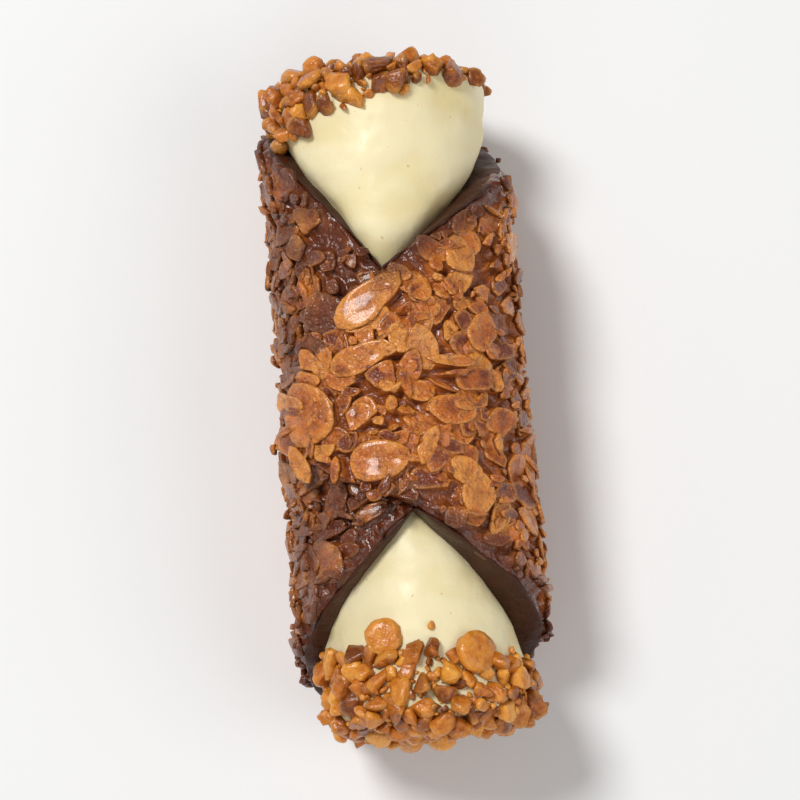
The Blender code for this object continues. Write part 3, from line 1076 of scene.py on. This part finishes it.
class Grain:
    """One chopped nut: a lump with broken faces, a flat chip, or a flat round button."""

    CRISPNESS = 26

    def __init__(self, place, out, size, rng, tone, kind="lump"):
        self.place = place
        self.out = out
        self.size = size
        self.tone = tone
        sides = {"lump": 9, "chip": 6, "button": 0}[kind]
        normals = rng.normal(size=(sides, 3)) * (1, 1, 1 if kind == "lump" else 0.35)
        depths = rng.uniform(0.4, 0.85, sides)
        if kind != "lump":
            thin = rng.uniform(0.3, 0.45)
            normals = np.concatenate((normals, [(0, 0, 1), (0.1, 0, -1)]))
            depths = np.concatenate((depths, [thin, thin]))
        self.normals = normals / np.linalg.norm(normals, axis=1, keepdims=True)
        self.depths = depths
        self.scale = np.array((1.25, rng.uniform(0.7, 1.1), 1.0)) if kind == "chip" else np.ones(3)
        self.spin = rng.uniform(0, FULL_TURN)
        self.lean = rng.normal(0, {"lump": 0.5, "chip": 0.55, "button": 0.1}[kind], 2)
        self.seed = float(rng.uniform(0, 100))

    def points(self, ball):
        """The grain's points, from the points of a unit ball, how near each is to a corner, which sets a
        painted highlight, and how deep it sits between its neighbours, which sets painted shade."""
        facing = np.maximum(ball @ self.normals.T, 0) / self.depths
        reach = (np.sum(facing**self.CRISPNESS, axis=1) + 1) ** (-1 / self.CRISPNESS)
        uneven = 0.08 * wander(ball, 0.6, self.seed) + 0.07 * wander(ball, 0.25, self.seed + 1)
        shape = ball * (reach * (1 + uneven))[:, None] * self.scale * self.size / 2
        turned = Matrix.Rotation(self.spin, 3, "Z")
        tipped = Matrix.Rotation(self.lean[0], 3, "X") @ Matrix.Rotation(self.lean[1], 3, "Y")
        faced = Vector(self.out).to_track_quat("Z", "Y").to_matrix()
        whole = np.array(faced @ tipped @ turned)
        moved = shape @ whole.T
        outward = moved @ self.out / self.size
        return moved + self.place, smooth_step(0.7, 1.0, reach), 1 - smooth_step(-0.2, 0.15, outward)


def unit_ball(level):
    """The points and faces of a ball of triangles."""
    shaped = bmesh.new()
    bmesh.ops.create_icosphere(shaped, subdivisions=level, radius=1.0)
    points = np.array([vert.co for vert in shaped.verts])
    faces = np.array([[vert.index for vert in face.verts] for face in shaped.faces])
    shaped.free()
    return points / np.linalg.norm(points, axis=1, keepdims=True), faces


class CANNOLO_OT_nuts(Operator):
    """Dip both ends in chopped caramelised nuts"""

    bl_idname = "cannolo.nuts"
    bl_label = "Chopped Nuts"

    FRINGE = 0.25
    FURTHEST = 6

    # Each round is a number of tries, the smallest and largest width as shares of the usual one, and how
    # close grains sit.
    ROUNDS = ((3400, 0.7, 1.2, 0.54), (3400, 0.35, 0.65, 0.5), (3000, 0.18, 0.34, 0.55))

    def execute(self, context):
        settings = context.scene.cannolo_nuts
        crown = context.scene.cannolo_cream.crown
        ends = (
            ("chopped_nuts_far", FAR, "nut_crust_far", 5),
            ("chopped_nuts_near", NEAR, "nut_crust_near", 6),
        )
        material = nut_material(settings)
        for name, notch, node, seed in ends:
            rng = np.random.default_rng(seed)
            grains = self.scatter(notch, settings, crown, rng)
            self.build(name, grains, material, node)
        return {"FINISHED"}

    def scatter(self, notch, settings, crown, rng):
        grains = self.stray_grains(notch, crown, rng)
        taken = np.array([(*grain.place, grain.size) for grain in grains])
        for tries, smallest, largest, closeness in self.ROUNDS:
            for _ in range(tries):
                size = settings.grain * rng.uniform(smallest, largest)
                angle = rng.uniform(-math.pi, math.pi)
                limit = float(nut_edge(notch, angle)) + self.FRINGE * rng.normal()
                on_face = rng.uniform() < 0.5
                travel = rng.uniform() ** 0.75 if on_face else rng.uniform(0.8, self.FURTHEST)
                if travel > limit - (0.0 if limit > 1.2 else 0.12):
                    continue
                place, out = self.surface(notch, angle, travel, crown)
                place = place + out * size * rng.uniform(0.02, 0.25)
                gap = np.linalg.norm(taken[:, :3] - place, axis=1)
                if place[2] > 0.55 * size and np.all(gap > (taken[:, 3] + size) / 2 * closeness):
                    kind = "chip" if rng.uniform() < 0.6 else "lump"
                    tone = float(np.clip(rng.normal(notch.nut_tone_and_shade, 0.28), 0, 1))
                    grains.append(Grain(place, out, size, rng, tone, kind))
                    taken = np.vstack((taken, (*place, size)))
        return grains

    @staticmethod
    def surface(notch, angle, travel, crown):
        """A place on the cream and the way out of it."""
        step = 1e-3
        here = cream_point(notch.side, angle, travel, crown)
        back = cream_point(notch.side, angle, travel + step, crown) - here
        round_it = cream_point(notch.side, angle + step, travel, crown) - here
        out = notch.side * np.cross(back, round_it)
        return here, out / np.linalg.norm(out)

    def stray_grains(self, notch, crown, rng):
        """Single grains on the cream. Each has an angle, a place along the tube, a width and a kind."""
        if notch is FAR:
            spots = ((-16, 35.2, 4.2, "chip"), (14, 33.9, 1.6, "lump"), (-24, 34.4, 1.5, "lump"))
        else:
            spots = ((-17, 27.9, 4.2, "button"), (29, 30.3, 4.7, "button"), (8, 27.0, 1.3, "lump"))
        grains = []
        shoulder_y = CREAM_HALF_LENGTH - CREAM_SHOULDER
        for degrees, along, width, kind in spots:
            travel = 1 + (shoulder_y - along * MM) / CREAM_SHOULDER
            place, out = self.surface(notch, math.radians(degrees), travel, crown)
            grains.append(Grain(place + out * width * MM * 0.12, out, width * MM, rng, 0.62, kind))
        return grains

    @staticmethod
    def build(name, grains, material, node):
        balls = {level: unit_ball(level) for level in (2, 3)}
        points, faces, tones, corners, roots = [], [], [], [], []
        first = 0
        for grain in grains:
            ball, triangles = balls[3 if grain.size > 0.0022 else 2]
            placed, corner, root = grain.points(ball)
            points.append(placed)
            faces += (triangles + first).tolist()
            tones.append(np.full(len(ball), grain.tone))
            corners.append(corner)
            roots.append(root)
            first += len(ball)
        marks = {"tone": np.concatenate(tones), "rim": np.concatenate(corners), "root": np.concatenate(roots)}
        piece = make_piece(name, np.concatenate(points), faces, marks)
        fit(piece, material, "nuts", node)


# The stage.

# How bright the backdrop looks.
BACKDROP = 0.93


class CANNOLO_OT_stage(Operator):
    """Set up the table, the lamps and the camera"""

    bl_idname = "cannolo.stage"
    bl_label = "Stage"

    def execute(self, context):
        settings = context.scene.cannolo_stage
        self.floor(settings)
        self.lamp("key lamp", (-0.30, 0.30, 0.70), 0.25, 4.2)
        self.lamp("fill lamp", (0.55, -0.25, 0.55), 0.6, 1.5)
        self.lamp("front lamp", (-0.1, -0.7, 0.45), 0.5, 1.0)
        self.world()
        self.camera(context, settings)
        context.scene.view_settings.view_transform = "Standard"
        return {"FINISHED"}

    @staticmethod
    def floor(settings):
        """A table that fades into the backdrop away from the cannolo."""
        data = bpy.data.meshes.new("floor")
        size = 3.0
        corners = [(-size, -size, 0), (size, -size, 0), (size, size, 0), (-size, size, 0)]
        data.from_pydata(corners, [], [(0, 1, 2, 3)])
        floor = bpy.data.objects.new("floor", data)
        bpy.context.scene.collection.objects.link(floor)
        look = Look("pale table")
        look.finish(tuple(settings.floor), 0.8)
        away = look.add("ShaderNodeVectorMath", operation="LENGTH")
        look.link(look.place(), away.inputs[0])
        seen = look.add("ShaderNodeLightPath").outputs["Is Camera Ray"]
        far_off = look.stretch(away.outputs["Value"], 0.10, 0.45)
        glow = look.add("ShaderNodeEmission")
        glow.inputs["Strength"].default_value = BACKDROP
        blend = look.add("ShaderNodeMixShader")
        look.link(look.times(far_off, seen), blend.inputs["Fac"])
        look.link(look.shader.outputs["BSDF"], blend.inputs[1])
        look.link(glow.outputs["Emission"], blend.inputs[2])
        look.link(blend.outputs["Shader"], look.tree.nodes["Material Output"].inputs["Surface"])
        data.materials.append(look.material)

    @staticmethod
    def lamp(name, place, size, power):
        data = bpy.data.lights.new(name, "AREA")
        data.shape = "DISK"
        data.size = size
        data.energy = power
        lamp = bpy.data.objects.new(name, data)
        lamp.location = place
        lamp.rotation_euler = (-Vector(place)).to_track_quat("-Z", "Y").to_euler()
        bpy.context.scene.collection.objects.link(lamp)

    @staticmethod
    def world():
        """Soft white light from all round, over a backdrop as pale as the table."""
        world = bpy.data.worlds.new("soft room")
        world.use_nodes = True
        tree = world.node_tree
        background = tree.nodes["Background"]
        background.inputs["Color"].default_value = (1.0, 1.0, 1.0, 1.0)
        seen = tree.nodes.new("ShaderNodeLightPath").outputs["Is Camera Ray"]
        strength = tree.nodes.new("ShaderNodeMapRange")
        strength.inputs["To Min"].default_value = 0.22
        strength.inputs["To Max"].default_value = BACKDROP
        tree.links.new(seen, strength.inputs["Value"])
        tree.links.new(strength.outputs["Result"], background.inputs["Strength"])
        bpy.context.scene.world = world

    @staticmethod
    def camera(context, settings):
        low, high = (Vector(corner) for corner in CAD_BOX)
        target = (low + high) / 2
        data = bpy.data.cameras.new("camera")
        data.lens = settings.lens
        data.clip_start = 0.01
        camera = bpy.data.objects.new("camera", data)
        away = Vector((0, -math.cos(settings.elevation), math.sin(settings.elevation)))
        camera.location = target + away * settings.distance
        look = (-away).to_track_quat("-Z", "Y").to_matrix()
        camera.rotation_euler = (look @ Matrix.Rotation(-settings.roll, 3, "Z")).to_euler()
        context.scene.collection.objects.link(camera)
        context.scene.camera = camera


STEPS = (
    CANNOLO_OT_brittle,
    CANNOLO_OT_almonds,
    CANNOLO_OT_chocolate,
    CANNOLO_OT_cream,
    CANNOLO_OT_nuts,
    CANNOLO_OT_stage,
)


class CANNOLO_PT_panel(Panel):
    """Lists the steps that make the cannolo"""

    bl_idname = "CANNOLO_PT_panel"
    bl_label = "Cannolo"
    bl_space_type = "VIEW_3D"
    bl_region_type = "UI"
    bl_category = "Cannolo"

    def draw(self, context):
        for step in STEPS:
            self.layout.operator(step.bl_idname)


SETTINGS = {
    "cannolo_brittle": BrittleSettings,
    "cannolo_almonds": AlmondSettings,
    "cannolo_chocolate": ChocolateSettings,
    "cannolo_cream": CreamSettings,
    "cannolo_nuts": NutSettings,
    "cannolo_stage": StageSettings,
}
CLASSES = (*SETTINGS.values(), *STEPS, CANNOLO_PT_panel)


def register():
    for cls in CLASSES:
        bpy.utils.register_class(cls)
    for name, group in SETTINGS.items():
        setattr(bpy.types.Scene, name, PointerProperty(type=group))


def unregister():
    for name in SETTINGS:
        delattr(bpy.types.Scene, name)
    for cls in reversed(CLASSES):
        bpy.utils.unregister_class(cls)


def main():
    register()
    bpy.ops.cannolo.brittle()
    bpy.ops.cannolo.almonds()
    bpy.ops.cannolo.chocolate()
    bpy.ops.cannolo.cream()
    bpy.ops.cannolo.nuts()
    bpy.ops.cannolo.stage()


if __name__ == "__main__":
    main()
